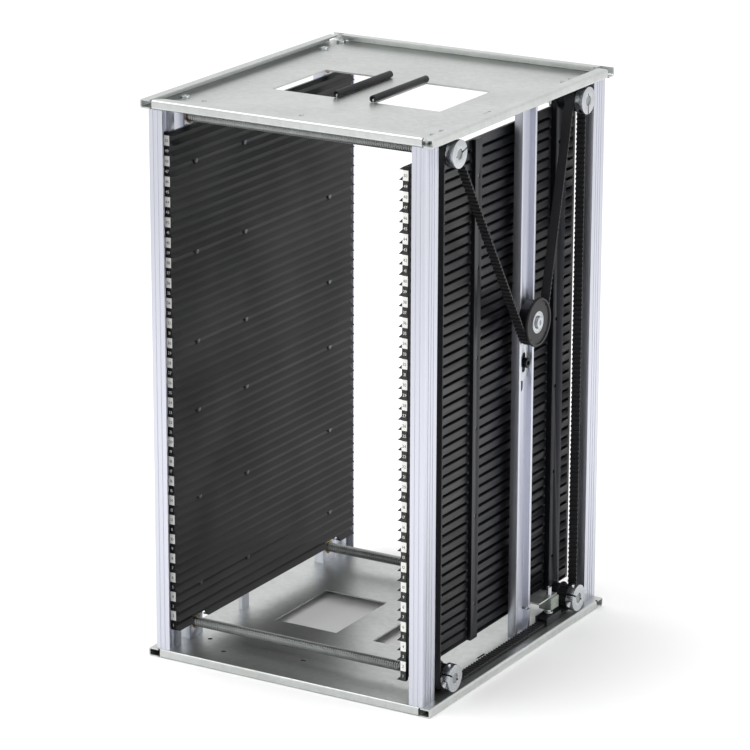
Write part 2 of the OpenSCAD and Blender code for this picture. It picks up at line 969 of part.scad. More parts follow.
// one loop of toothed belt, teeth inside
module timing_belt() {
    half = belt_t / 2;
    back = [
        for (s = PATH, k = [0 : len(s) == 3 ? 1 : back_steps])
            on_stretch(s, len_of(s) * k / (len(s) == 3 ? 1 : back_steps), half)
    ];
    teeth = [
        for (i = [0 : belt_teeth - 1], q = [[-root_half, -half], [-tip_half, -half - belt_tooth], [tip_half, -half - belt_tooth], [root_half, -half]])
            on_belt(i * step + q[0], q[1])
    ];
    n = len(back);
    m = len(teeth);
    color(black)
        translate([belt_x - belt_w / 2, 0, 0])
            rotate([90, 0, 90])
                linear_extrude(belt_w)
                    polygon(
                        concat(back, teeth),
                        [[for (i = [0 : n - 1]) i], [for (i = [0 : m - 1]) n + i]]
                    );
}

// idler --------------------------------------------------------------------

slide_slot = 9;
slide_low = 74;
slide_d = 17;
slide_down = 62;
slide_up = 13;
slide_x = mid_face - mid_w + mid_web;
flange_thick = 1.8;
ring_h = 1.2;
ring_w = 2;
notch_depth = 0.7;
track_x = mid_face + 0.4;
flange_x = belt_x + belt_w / 2 + belt_play;
face_x = flange_x + flange_thick;
clamp_screw_z = idler_z - 43;
clamp_screw_d = 6;

module at_idler(x) {
    translate([x, mid_y, idler_z])
        rotate([0, 90, 0])
            children();
}

// knurled wheel that presses the belt down on its smooth back
module idler_wheel() {
    rim_outline = [
        for (i = [0 : 2 * idler_notches - 1])
            let (a = i * 180 / idler_notches)
            (idler_d / 2 - (i % 2) * notch_depth) * [cos(a), sin(a)]
    ];
    bolt_circle = idler_d / 2 - 4;
    color(black)
        at_idler(track_x)
            difference() {
                union() {
                    cylinder(h = flange_x - track_x, d = idler_track, $fn = 96);
                    translate([0, 0, flange_x - track_x])
                        linear_extrude(flange_thick)
                            polygon(rim_outline);
                    translate([0, 0, face_x - track_x])
                        difference() {
                            cylinder(h = ring_h, d = idler_d - 2 * notch_depth - 0.2, $fn = 96);
                            translate([0, 0, -1])
                                cylinder(h = ring_h + 2, d = idler_d - 2 * notch_depth - 2 * ring_w, $fn = 96);
                        }
                }
                translate([0, 0, -1])
                    cylinder(h = face_x - track_x + 3, d = ball_od - 3);
                translate([0, 0, face_x - track_x - ball_w])
                    cylinder(h = ball_w + 3, d = ball_od);
                for (a = [45 : 90 : 315])
                    rotate([0, 0, a])
                        translate([bolt_circle, 0, face_x - track_x - 2])
                            cylinder(h = 4, d = 2);
            }
}

race_in = 12;
race_out = 19;

module idler_outer_ring() {
    color(steel)
        at_idler(face_x - ball_w)
            difference() {
                cylinder(h = ball_w, d = ball_od);
                translate([0, 0, -1])
                    cylinder(h = ball_w + 2, d = race_out);
            }
}

module idler_inner_ring() {
    color(steel)
        at_idler(face_x - ball_w)
            difference() {
                cylinder(h = ball_w, d = race_in);
                translate([0, 0, -1])
                    cylinder(h = ball_w + 2, d = ball_id + bore_play);
            }
}

module idler_balls() {
    balls = 7;
    ball_r = (race_out - race_in) / 4 - 0.05;
    color(steel)
        at_idler(face_x - ball_w / 2)
            for (i = [0 : balls - 1])
                rotate([0, 0, i * 360 / balls])
                    translate([(race_out + race_in) / 4, 0, 0])
                        sphere(ball_r);
}

module idler_shields() {
    shield = 0.5;
    color(steel)
        for (x = [face_x - ball_w + 0.2, face_x - shield - 0.2])
            at_idler(x)
                difference() {
                    cylinder(h = shield, d = race_out);
                    translate([0, 0, -1])
                        cylinder(h = shield + 2, d = race_in + 0.8);
                }
}

// shouldered bolt: its collar spaces the bearing off the slide plate
module idler_axle() {
    shoulder = 11.5;
    head = 12;
    head_t = 2.4;
    socket = 5;
    color("dimgray")
        difference() {
            union() {
                at_idler(slide_x)
                    cylinder(h = slide_t, d = ball_id);
                at_idler(slide_x + slide_t)
                    cylinder(h = face_x - ball_w - slide_x - slide_t, d = shoulder);
                at_idler(face_x - ball_w)
                    cylinder(h = ball_w, d = ball_id);
                at_idler(face_x)
                    cylinder(h = head_t, d = head);
            }
            at_idler(face_x + head_t - 1.6)
                cylinder(h = 3, d = socket, $fn = 6);
        }
}

// plate that slides in the middle post's channel to set the belt's tension
module idler_slide_plate() {
    top = idler_z + slide_up;
    low = idler_z - slide_down;
    color(steel)
        difference() {
            slot_hole(slide_x, slide_t, slide_d, low, top);
            at_idler(slide_x - 1)
                cylinder(h = slide_t + 2, d = ball_id + bore_play);
            slot_hole(slide_x - 1, slide_t + 2, clamp_screw_d + 0.6, clamp_screw_z - 10, clamp_screw_z + 10);
        }
}

clamp_bar_t = 1.6;

module idler_clamp_bar() {
    bar = 20;
    color(steel)
        difference() {
            translate([slide_x - mid_web - clamp_bar_t, mid_y - bar / 2, clamp_screw_z - bar / 2])
                cube([clamp_bar_t, bar, bar]);
            translate([slide_x - mid_web - clamp_bar_t - 1, mid_y, clamp_screw_z])
                rotate([0, 90, 0])
                    cylinder(h = clamp_bar_t + 2, d = clamp_screw_d + bore_play);
        }
}

module idler_clamp_screw() {
    head = 10;
    head_t = 5;
    socket = 5;
    reach = slide_t + mid_web + clamp_bar_t;
    color("dimgray")
        translate([slide_x + slide_t, mid_y, clamp_screw_z])
            rotate([0, 90, 0])
                difference() {
                    union() {
                        cylinder(h = head_t, d = head);
                        translate([0, 0, -reach])
                            cylinder(h = reach, d = clamp_screw_d);
                    }
                    translate([0, 0, head_t - 2.5])
                        cylinder(h = 3, d = socket, $fn = 6);
                }
}

// belt lock ----------------------------------------------------------------

bracket_x = mid_face - mid_w + 0.5;
bracket_w = 19;
bracket_t = 1.5;
bracket_z = 26;
bracket_h = 12;
lock_screw_a = -6;
lock_screw_b = -2;
shelf_z = bracket_z + bracket_h;
guide_low = 1.4;
guide_x = belt_x;
guide_w = belt_w + 4;
guide_wall = 1.6;
guide_h = 9;
jaw_t = 4;
jaw_w = belt_w - 0.4;
belt_top = low_z - pitch_r + belt_t / 2 + belt_tooth;
jaw_z = belt_top + 0.1;
block_low = 24;
lock_x = belt_x + 0.5;
lock_block_w = 14;
lock_block_d = 16;

// folded shelf fixed to the side of the middle post
module lock_bracket() {
    post_side = mid_y + mid_d / 2;
    shelf_end = lock_y + lock_block_d / 2;
    color("gainsboro")
        difference() {
            union() {
                translate([bracket_x, post_side, bracket_z])
                    cube([mid_w - 1, bracket_t, bracket_h]);
                translate([bracket_x, post_side, shelf_z - bracket_t])
                    cube([bracket_w, shelf_end - post_side, bracket_t]);
            }
            for (y = [lock_screw_a, lock_screw_b])
                translate([bracket_x + bracket_w / 2 + y, post_side + bracket_t + 1, bracket_z + bracket_h / 2])
                    rotate([90, 0, 0])
                        cylinder(h = bracket_t + 2, d = block_screw_d + bore_play);
            lock_bore();
        }
}

module lock_bore() {
    translate([lock_x, lock_y, block_low - 1])
        cylinder(h = shelf_z - block_low + 4, d = lock_d + 0.2);
}

// tapped block hung under the shelf
module lock_block() {
    color("lightslategray")
        difference() {
            translate([lock_x - lock_block_w / 2, lock_y - lock_block_d / 2, block_low])
                cube([lock_block_w, lock_block_d, shelf_z - bracket_t - block_low]);
            lock_bore();
        }
}

// channel on the bottom plate that the belt runs through
module lock_guide() {
    color(black)
        difference() {
            translate([guide_x - guide_w / 2, lock_y - lock_len / 2, rim_h])
                cube([guide_w, lock_len, guide_h]);
            translate([guide_x - guide_w / 2 + guide_wall, lock_y - lock_len / 2 - 1, rim_h + guide_low])
                cube([guide_w - 2 * guide_wall, lock_len + 2, guide_h]);
        }
}

// pad that the lock screw presses onto the belt
module lock_jaw() {
    color(black)
        translate([belt_x - jaw_w / 2, lock_y - lock_len / 2 + 2, jaw_z])
            cube([jaw_w, lock_len - 4, jaw_t]);
}

module lock_screw() {
    foot = 8.5;
    foot_t = 3;
    base = jaw_z + jaw_t;
    top = shelf_z + 8;
    color(steel)
        difference() {
            translate([lock_x, lock_y, base]) {
                cylinder(h = foot_t, d = foot);
                cylinder(h = top - base, d = lock_d);
            }
            translate([lock_x, lock_y, top - 2.5])
                cylinder(h = 3, d = 2.5, $fn = 6);
        }
}

// plate screws -------------------------------------------------------------

module pan_screw(d, head, head_t, length) {
    difference() {
        union() {
            cylinder(h = length, d = d);
            translate([0, 0, -head_t])
                cylinder(h = head_t, d = head);
        }
        translate([0, 0, -head_t - 1])
            cylinder(h = 1 + head_t / 2, d = head / 3, $fn = 6);
    }
}

module plate_screws() {
    long = 8;
    color(steel) {
        at_uprights()
            translate([0, 0, rim_h - sheet])
                pan_screw(port_d, 9.5, 2.8, long);
        at_block_screws()
            translate([0, 0, rim_h - sheet])
                pan_screw(block_screw_d, 5.6, 1.8, long);
    }
}

module plate_screws_bottom() {
    plate_screws();
}

module plate_screws_top() {
    translate([0, 0, rack_h])
        mirror([0, 0, 1])
            plate_screws();
}

bottom_plate();
top_plate();
post_front_left();
post_front_right();
post_back_left();
post_back_right();
middle_post();
fixed_column_front();
fixed_column_back();
fixed_rail_middle();
fixed_panel_lower();
fixed_panel_upper();
fixed_number_strip();
fixed_panel_screws();
sliding_panel_lower();
sliding_panel_upper();
sliding_number_strip();
sliding_panel_screws();
sliding_rail_front();
sliding_rail_back();
sliding_rail_middle();
lead_nuts();
bearing_blocks();
screw_bushes_left();
screw_bushes_right();
grip_tubes();
lead_screw_bottom_front();
lead_screw_bottom_back();
lead_screw_top_front();
lead_screw_top_back();
pulley_bottom_front();
pulley_bottom_back();
pulley_top_front();
pulley_top_back();
collar_bottom_front();
collar_bottom_back();
collar_top_front();
collar_top_back();
collar_screw_bottom_front();
collar_screw_bottom_back();
collar_screw_top_front();
collar_screw_top_back();
timing_belt();
idler_wheel();
idler_outer_ring();
idler_balls();
idler_shields();
idler_inner_ring();
idler_axle();
idler_slide_plate();
idler_clamp_bar();
idler_clamp_screw();
lock_bracket();
lock_block();
lock_guide();
lock_jaw();
lock_screw();
plate_screws_top();
plate_screws_bottom();
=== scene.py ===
"""Looks of an adjustable rack for circuit boards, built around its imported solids, in metres."""

import json
import math

import bmesh
import bpy
from mathutils import Matrix, Vector


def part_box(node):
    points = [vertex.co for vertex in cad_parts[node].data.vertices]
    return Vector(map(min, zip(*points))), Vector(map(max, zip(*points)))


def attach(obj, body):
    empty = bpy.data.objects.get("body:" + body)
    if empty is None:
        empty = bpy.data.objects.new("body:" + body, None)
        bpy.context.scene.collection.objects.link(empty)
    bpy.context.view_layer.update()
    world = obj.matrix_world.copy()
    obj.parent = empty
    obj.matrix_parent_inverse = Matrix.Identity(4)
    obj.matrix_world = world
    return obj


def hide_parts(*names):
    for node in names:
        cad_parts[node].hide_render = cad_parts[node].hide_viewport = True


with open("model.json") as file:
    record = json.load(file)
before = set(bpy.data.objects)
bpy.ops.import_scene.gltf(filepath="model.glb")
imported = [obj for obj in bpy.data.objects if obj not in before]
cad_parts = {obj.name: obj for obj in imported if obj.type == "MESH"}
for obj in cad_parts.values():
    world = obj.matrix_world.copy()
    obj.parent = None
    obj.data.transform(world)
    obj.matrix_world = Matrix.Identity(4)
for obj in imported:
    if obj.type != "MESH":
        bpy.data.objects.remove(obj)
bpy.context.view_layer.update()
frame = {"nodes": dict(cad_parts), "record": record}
MM = 0.001

# ---------------------------------------------------------------------------
# Folded plates.
# Top and bottom are 1.5 mm galvanised steel sheet, punched, then folded on a press brake.
# Hot-dip zinc gives a soft grey mirror broken into faint crystals a few millimetres across.
# ---------------------------------------------------------------------------


def linear(hex_colour):
    """An sRGB hex colour as linear RGBA."""
    parts = [int(hex_colour[i : i + 2], 16) / 255 for i in (1, 3, 5)]
    return [c / 12.92 if c <= 0.04045 else ((c + 0.055) / 1.055) ** 2.4 for c in parts] + [1.0]


def add(tree, kind, settings=None, **inputs):
    """Adds one node. Settings are its own options, inputs a value or an output for each socket."""
    node = tree.nodes.new(kind)
    for name, value in (settings or {}).items():
        setattr(node, name, value)
    for name, value in inputs.items():
        key = int(name[1:]) if name[0] == "_" else name.replace("_", " ")
        socket = node.inputs[key]
        if isinstance(value, bpy.types.NodeSocket):
            tree.links.new(value, socket)
        else:
            socket.default_value = value
    return node


def new_finish(name, metallic, roughness, colour, **fixed):
    """Starts a material: returns it with its tree, its shader and the piece's own coordinates."""
    material = bpy.data.materials.new(name)
    material.use_nodes = True
    tree = material.node_tree
    shader = tree.nodes["Principled BSDF"]
    shader.inputs["Base Color"].default_value = linear(colour)
    shader.inputs["Metallic"].default_value = metallic
    shader.inputs["Roughness"].default_value = roughness
    for socket, value in fixed.items():
        shader.inputs[socket.replace("_", " ")].default_value = value
    place = add(tree, "ShaderNodeTexCoord").outputs["Object"]
    return material, tree, shader, place


def two_tones(tree, fac, dark, light):
    """Colours between two hex values by a 0 to 1 factor."""
    ramp = add(tree, "ShaderNodeMix", {"data_type": "RGBA"})
    tree.links.new(fac, ramp.inputs[0])
    ramp.inputs[6].default_value = linear(dark)
    ramp.inputs[7].default_value = linear(light)
    return ramp.outputs[2]


def between(tree, value, low, high, start=0.0, stop=1.0):
    """Maps a pattern's range start..stop to low..high."""
    mapped = add(tree, "ShaderNodeMapRange", None, Value=value)
    for name, number in (("From Min", start), ("From Max", stop), ("To Min", low), ("To Max", high)):
        mapped.inputs[name].default_value = number
    return mapped.outputs["Result"]


def every(size_mm):
    """Pattern scale for marks about this many millimetres apart."""
    return 1 / (size_mm * MM)


def bump(tree, shader, height, depth_mm, strength=1.0):
    """Raises the surface by a pattern, to a real depth in millimetres."""
    raised = add(
        tree, "ShaderNodeBump", None, Height=height, Distance=depth_mm * MM, Strength=strength
    )
    tree.links.new(raised.outputs["Normal"], shader.inputs["Normal"])


def galvanised_sheet():
    crystal_mm = 5.0
    material, tree, shader, place = new_finish("galvanised_steel_sheet", 1.0, 0.34, "#C3C6C5")
    crystals = add(tree, "ShaderNodeTexVoronoi", None, Vector=place, Scale=every(crystal_mm))
    tone = add(tree, "ShaderNodeSeparateColor", None, Color=crystals.outputs["Color"]).outputs[0]
    cloud = add(tree, "ShaderNodeTexNoise", None, Vector=place, Scale=every(111), Detail=5.0)
    mixed = add(
        tree, "ShaderNodeMath", {"operation": "MULTIPLY_ADD"}, _0=tone, _1=0.22, _2=cloud.outputs["Fac"]
    ).outputs[0]
    tree.links.new(
        two_tones(tree, between(tree, mixed, 0.0, 1.0, 0.4, 0.85), "#BDC0BE", "#CCCFCD"),
        shader.inputs["Base Color"],
    )
    tree.links.new(between(tree, mixed, 0.42, 0.34, 0.35, 0.9), shader.inputs["Roughness"])
    fine = add(tree, "ShaderNodeTexNoise", None, Vector=place, Scale=every(1.2), Detail=3.0)
    bump(tree, shader, fine.outputs["Fac"], 0.02, 0.5)
    return material


zinc = galvanised_sheet()


def finish_nodes(material, *names):
    """Gives CAD pieces that keep their own shape a material."""
    for name in names:
        for slot in frame["nodes"][name].material_slots:
            slot.material = material


finish_nodes(zinc, "bottom_plate", "top_plate")

# ---------------------------------------------------------------------------
# Uprights: four corner posts, the middle post, the fixed wall's two columns and its flat rail.
# Extruded aluminium, clear anodised, sawn to length and screwed between the plates at both ends.
# Drawing through the die leaves faint streaks along the whole length.
# ---------------------------------------------------------------------------


def extruded(name, colour, metallic, low, high, streak_mm=0.9):
    material, tree, shader, place = new_finish(name, metallic, (low + high) / 2, colour)
    along = add(tree, "ShaderNodeMapping", None, Vector=place)
    along.inputs["Scale"].default_value = (1.0, 1.0, 0.004)
    streaks = add(
        tree, "ShaderNodeTexNoise", None, Vector=along.outputs[0], Scale=every(streak_mm), Detail=3.0
    ).outputs["Fac"]
    tree.links.new(between(tree, streaks, low, high, 0.3, 0.7), shader.inputs["Roughness"])
    bump(tree, shader, streaks, 0.015, 0.6)
    return material, tree, shader, streaks


# clear anodising: a cool satin grey, brighter where the edges of the grooves catch light
anodised, tree, shader, streaks = extruded("clear_anodised_aluminium", "#CED0D9", 1.0, 0.3, 0.44)
tree.links.new(two_tones(tree, streaks, "#C2C4CE", "#D8DAE3"), shader.inputs["Base Color"])

BODY_OF = {n: body for body, names in frame["record"]["behaviour"]["bodies"].items() for n in names}
WELD = 1e-6


def put_in_scene(name, mesh):
    piece = bpy.data.objects.new(name, mesh)
    bpy.context.collection.objects.link(piece)
    return piece


def made_plain(piece, smooth=30):
    """Turns the piece with its modifiers into a plain mesh, with edges sharper than smooth kept."""
    seen = piece.evaluated_get(bpy.context.evaluated_depsgraph_get())
    mesh = bpy.data.meshes.new_from_object(seen)
    piece.modifiers.clear()
    piece.data = mesh
    mesh.shade_smooth()
    mesh.set_sharp_from_angle(angle=math.radians(smooth))
    return piece


def eased(name, width_mm, material, steps=2):
    """A copy of a CAD piece with its sharp edges eased, which stands for it on the same body."""
    shape = bmesh.new()
    shape.from_mesh(frame["nodes"][name].data)
    bmesh.ops.remove_doubles(shape, verts=shape.verts, dist=WELD)
    bmesh.ops.dissolve_limit(
        shape, angle_limit=math.radians(0.5), verts=shape.verts, edges=shape.edges
    )
    mesh = bpy.data.meshes.new(name + "_eased")
    shape.to_mesh(mesh)
    shape.free()
    piece = put_in_scene(name + "_eased", mesh)
    edges = piece.modifiers.new("edges", "BEVEL")
    edges.width = width_mm * MM
    edges.segments = steps
    edges.limit_method = "ANGLE"
    edges.angle_limit = math.radians(35)
    made_plain(piece)
    piece.data.materials.clear()
    piece.data.materials.append(material)
    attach(piece, BODY_OF[name])
    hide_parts(name)
    return piece


for upright in ("front_left", "front_right", "back_left", "back_right"):
    eased("post_" + upright, 0.2, anodised)
for upright in ("middle_post", "fixed_column_front", "fixed_column_back", "fixed_rail_middle"):
    eased(upright, 0.3, anodised)

# ---------------------------------------------------------------------------
# Slotted walls.
# Four mouldings in static-dissipative black polystyrene, two to a wall, hollow behind each tooth.
# The mould is lightly spark-eroded, so the plastic has a fine even grain and a dull sheen.
# ---------------------------------------------------------------------------


MATT_SHEEN = 0.32


def moulded(name, colour, roughness, grain_mm, depth_mm=0.03):
    material, tree, shader, place = new_finish(
        name, 0.0, roughness, colour, Specular_IOR_Level=MATT_SHEEN
    )
    grain = add(tree, "ShaderNodeTexNoise", None, Vector=place, Scale=every(grain_mm), Detail=4.0)
    drift = add(tree, "ShaderNodeTexNoise", None, Vector=place, Scale=every(71.4), Detail=3.0)
    tree.links.new(
        between(tree, drift.outputs["Fac"], roughness - 0.06, roughness + 0.08, 0.3, 0.7),
        shader.inputs["Roughness"],
    )
    bump(tree, shader, grain.outputs["Fac"], depth_mm, 0.6)
    return material


# the grain is about 0.3 mm, drawn at 0.8 mm so that it shows
wall_plastic = moulded("spark_grained_black_polystyrene", "#0C0D11", 0.36, 0.8)
for wall in ("fixed", "sliding"):
    for half in ("lower", "upper"):
        eased(f"{wall}_panel_{half}", 0.15, wall_plastic, 1)

# ---------------------------------------------------------------------------
# Numbered strips.
# A printed vinyl strip on each wall's front flange numbers the fifty slots from the bottom up.
# Even numbers are dark on a white box, odd ones light on black.
# ---------------------------------------------------------------------------

SLOTS = 50
# printed vinyl: flat colour with a faint mottle, so that the boxes read as ink on film
vinyl_white, tree, shader, place = new_finish("white_printed_vinyl", 0.0, 0.45, "#E9E9E6")
mottle = add(tree, "ShaderNodeTexNoise", None, Vector=place, Scale=every(6.25), Detail=3.0)
tree.links.new(two_tones(tree, mottle.outputs["Fac"], "#E0E0DD", "#F1F1EE"), shader.inputs["Base Color"])
vinyl_black, tree, shader, place = new_finish("black_printed_vinyl", 0.0, 0.4, "#121316")
mottle = add(tree, "ShaderNodeTexNoise", None, Vector=place, Scale=every(6.25), Detail=3.0)
tree.links.new(two_tones(tree, mottle.outputs["Fac"], "#0F1013", "#17181B"), shader.inputs["Base Color"])


def label_tree():
    """A column of evenly spaced thin boxes, every other slot."""
    tree = bpy.data.node_groups.new("label_boxes", "GeometryNodeTree")
    face = tree.interface
    face.new_socket("Geometry", in_out="OUTPUT", socket_type="NodeSocketGeometry")
    sizes = {}
    for name, kind in (
        ("Box", "NodeSocketVector"),
        ("First", "NodeSocketVector"),
        ("Rise", "NodeSocketFloat"),
        ("Count", "NodeSocketInt"),
        ("Finish", "NodeSocketMaterial"),
    ):
        sizes[name] = face.new_socket(name, in_out="INPUT", socket_type=kind).identifier
    given = add(tree, "NodeGroupInput").outputs
    up = add(tree, "ShaderNodeCombineXYZ", None, Z=given["Rise"])
    line = add(
        tree,
        "GeometryNodeMeshLine",
        {"mode": "OFFSET"},
        Count=given["Count"],
        Start_Location=given["First"],
        Offset=up.outputs[0],
    )
    box = add(tree, "GeometryNodeMeshCube", None, Size=given["Box"])
    spread = add(
        tree, "GeometryNodeInstanceOnPoints", None, Points=line.outputs[0], Instance=box.outputs[0]
    )
    real = add(tree, "GeometryNodeRealizeInstances", None, Geometry=spread.outputs[0])
    painted = add(
        tree,
        "GeometryNodeSetMaterial",
        None,
        Geometry=real.outputs[0],
        Material=given["Finish"],
    )
    add(tree, "NodeGroupOutput", None, Geometry=painted.outputs[0])
    return tree, sizes


def grown(name, tree, sizes, values):
    """A piece made by a geometry tree, as a plain mesh."""
    piece = put_in_scene(name, bpy.data.meshes.new(name))
    maker = piece.modifiers.new("maker", "NODES")
    maker.node_group = tree
    for key, value in values.items():
        maker[sizes[key]] = value
    return made_plain(piece)


def digit_outlines(height_mm, thick_mm):
    """Each digit's points and faces, standing upright and facing the front opening."""
    shapes = {}
    for digit in "0123456789":
        text = bpy.data.curves.new("digit", "FONT")
        text.body = digit
        text.size = height_mm * MM / 0.7
        text.extrude = thick_mm * MM / 2
        text.resolution_u = 3
        text.align_x = "LEFT"
        sample = put_in_scene("digit", text)
        mesh = bpy.data.meshes.new_from_object(
            sample.evaluated_get(bpy.context.evaluated_depsgraph_get())
        )
        points = [Vector((v.co.x, -v.co.z, v.co.y)) for v in mesh.vertices]
        left = min(p.x for p in points)
        right = max(p.x for p in points)
        shapes[digit] = (
            [p - Vector((left, 0, 0)) for p in points],
            [list(f.vertices) for f in mesh.polygons],
            right - left,
        )
        bpy.data.objects.remove(sample)
    return shapes


boxes_tree, boxes_in = label_tree()
DIGIT_MM = 2.9
DIGIT_GAP_MM = 0.35
INK_MM = 0.06
digit_shapes = digit_outlines(DIGIT_MM, INK_MM)


def slot_numbers(name, parity, x, y, first_z, pitch, material):
    """The printed numbers of every other slot as one mesh."""
    points, faces = [], []
    for slot in range(1, SLOTS + 1):
        if slot % 2 != parity:
            continue
        digits = [digit_shapes[d] for d in str(slot)]
        wide = sum(d[2] for d in digits) + DIGIT_GAP_MM * MM * (len(digits) - 1)
        at = x - wide / 2
        low = first_z + (slot - 0.5) * pitch - DIGIT_MM * MM / 2
        for outline, rings, breadth in digits:
            start = len(points)
            points += [p + Vector((at, y, low)) for p in outline]
            faces += [[start + i for i in ring] for ring in rings]
            at += breadth + DIGIT_GAP_MM * MM
    mesh = bpy.data.meshes.new(name)
    mesh.from_pydata(points, [], faces)
    mesh.materials.append(material)
    piece = put_in_scene(name, mesh)
    tidy = bmesh.new()
    tidy.from_mesh(mesh)
    bmesh.ops.remove_doubles(tidy, verts=tidy.verts, dist=WELD)
    bmesh.ops.recalc_face_normals(tidy, faces=tidy.faces)
    tidy.to_mesh(mesh)
    tidy.free()
    return piece


for wall, body in (("fixed", "frame"), ("sliding", "sliding_wall")):
    low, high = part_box(f"{wall}_number_strip")
    pitch = 10 * MM
    wide, thick = high.x - low.x, high.y - low.y
    middle_x, middle_y = (low.x + high.x) / 2, (low.y + high.y) / 2
    for shade, parity, material, ink in (
        ("white", 0, vinyl_white, vinyl_black),
        ("black", 1, vinyl_black, vinyl_white),
    ):
        first = low.z + (0.5 if parity else 1.5) * pitch
        labels = grown(
            f"{wall}_labels_{shade}",
            boxes_tree,
            boxes_in,
            {
                "Box": (wide, thick, pitch * (1.0 if parity else 0.98)),
                "First": (middle_x, middle_y, first),
                "Rise": 2 * pitch,
                "Count": SLOTS // 2,
                "Finish": material,
            },
        )
        numbers = slot_numbers(
            f"{wall}_numbers_{shade}", parity, middle_x, low.y - INK_MM * MM / 2, low.z, pitch, ink
        )
        for piece in (labels, numbers):
            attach(piece, body)
            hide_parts(f"{wall}_number_strip")

# ---------------------------------------------------------------------------
# Rails of the sliding wall, and the flanged nuts that carry it.
# The rails are black anodised aluminium flats; the nuts are turned from free-cutting steel.
# Each nut's flange is screwed to a rail, and its barrel runs on a lead screw.
# ---------------------------------------------------------------------------

# black anodising: a soft metallic edge that tells the rails from the plastic behind them
black_anodised = extruded("black_anodised_aluminium", "#17191D", 0.55, 0.3, 0.42)[0]
for rail in ("front", "back", "middle"):
    eased(f"sliding_rail_{rail}", 0.3, black_anodised)


def turned(name, light, dark, roughness, ring_mm=0.5):
    """Bright metal with faint tool rings round the lead screws' direction."""
    material, tree, shader, place = new_finish(name, 1.0, roughness, light)
    rings = add(
        tree,
        "ShaderNodeTexWave",
        {"wave_type": "BANDS", "bands_direction": "X"},
        Vector=place,
        Scale=2 * math.pi / 20 / (ring_mm * MM),
        Distortion=1.5,
        Detail=2.0,
    ).outputs["Fac"]
    stain = add(tree, "ShaderNodeTexNoise", None, Vector=place, Scale=every(11.1), Detail=4.0).outputs["Fac"]
    tree.links.new(two_tones(tree, stain, dark, light), shader.inputs["Base Color"])
    tree.links.new(between(tree, stain, roughness - 0.05, roughness + 0.08), shader.inputs["Roughness"])
    bump(tree, shader, rings, 0.01, 0.4)
    return material


# fresh turned steel: the brightest metal, with rings that break up its reflections
turned_steel = turned("turned_free_cutting_steel", "#C6C9CC", "#AFB2B6", 0.26)
eased("lead_nuts", 0.4, turned_steel)

# ---------------------------------------------------------------------------
# Bearings of the lead screws.
# Black cast blocks under both plates on the drive side, with pressed-in bronze bushes.
# The left ends run in bushes pressed straight into the aluminium columns.
# ---------------------------------------------------------------------------

eased("bearing_blocks", 0.4, black_anodised)
# sintered bronze: a dull brown ring round each journal
bronze = turned("sintered_bronze", "#A98B5C", "#8F744A", 0.38)
eased("screw_bushes_left", 0.2, bronze)
eased("screw_bushes_right", 0.2, bronze)

# ---------------------------------------------------------------------------
# Lead screws.
# Four 10 mm bright steel bars with a rolled 2.5 mm thread and plain turned ends.
# All four turn together, so the wall stays square as it slides.
# ---------------------------------------------------------------------------


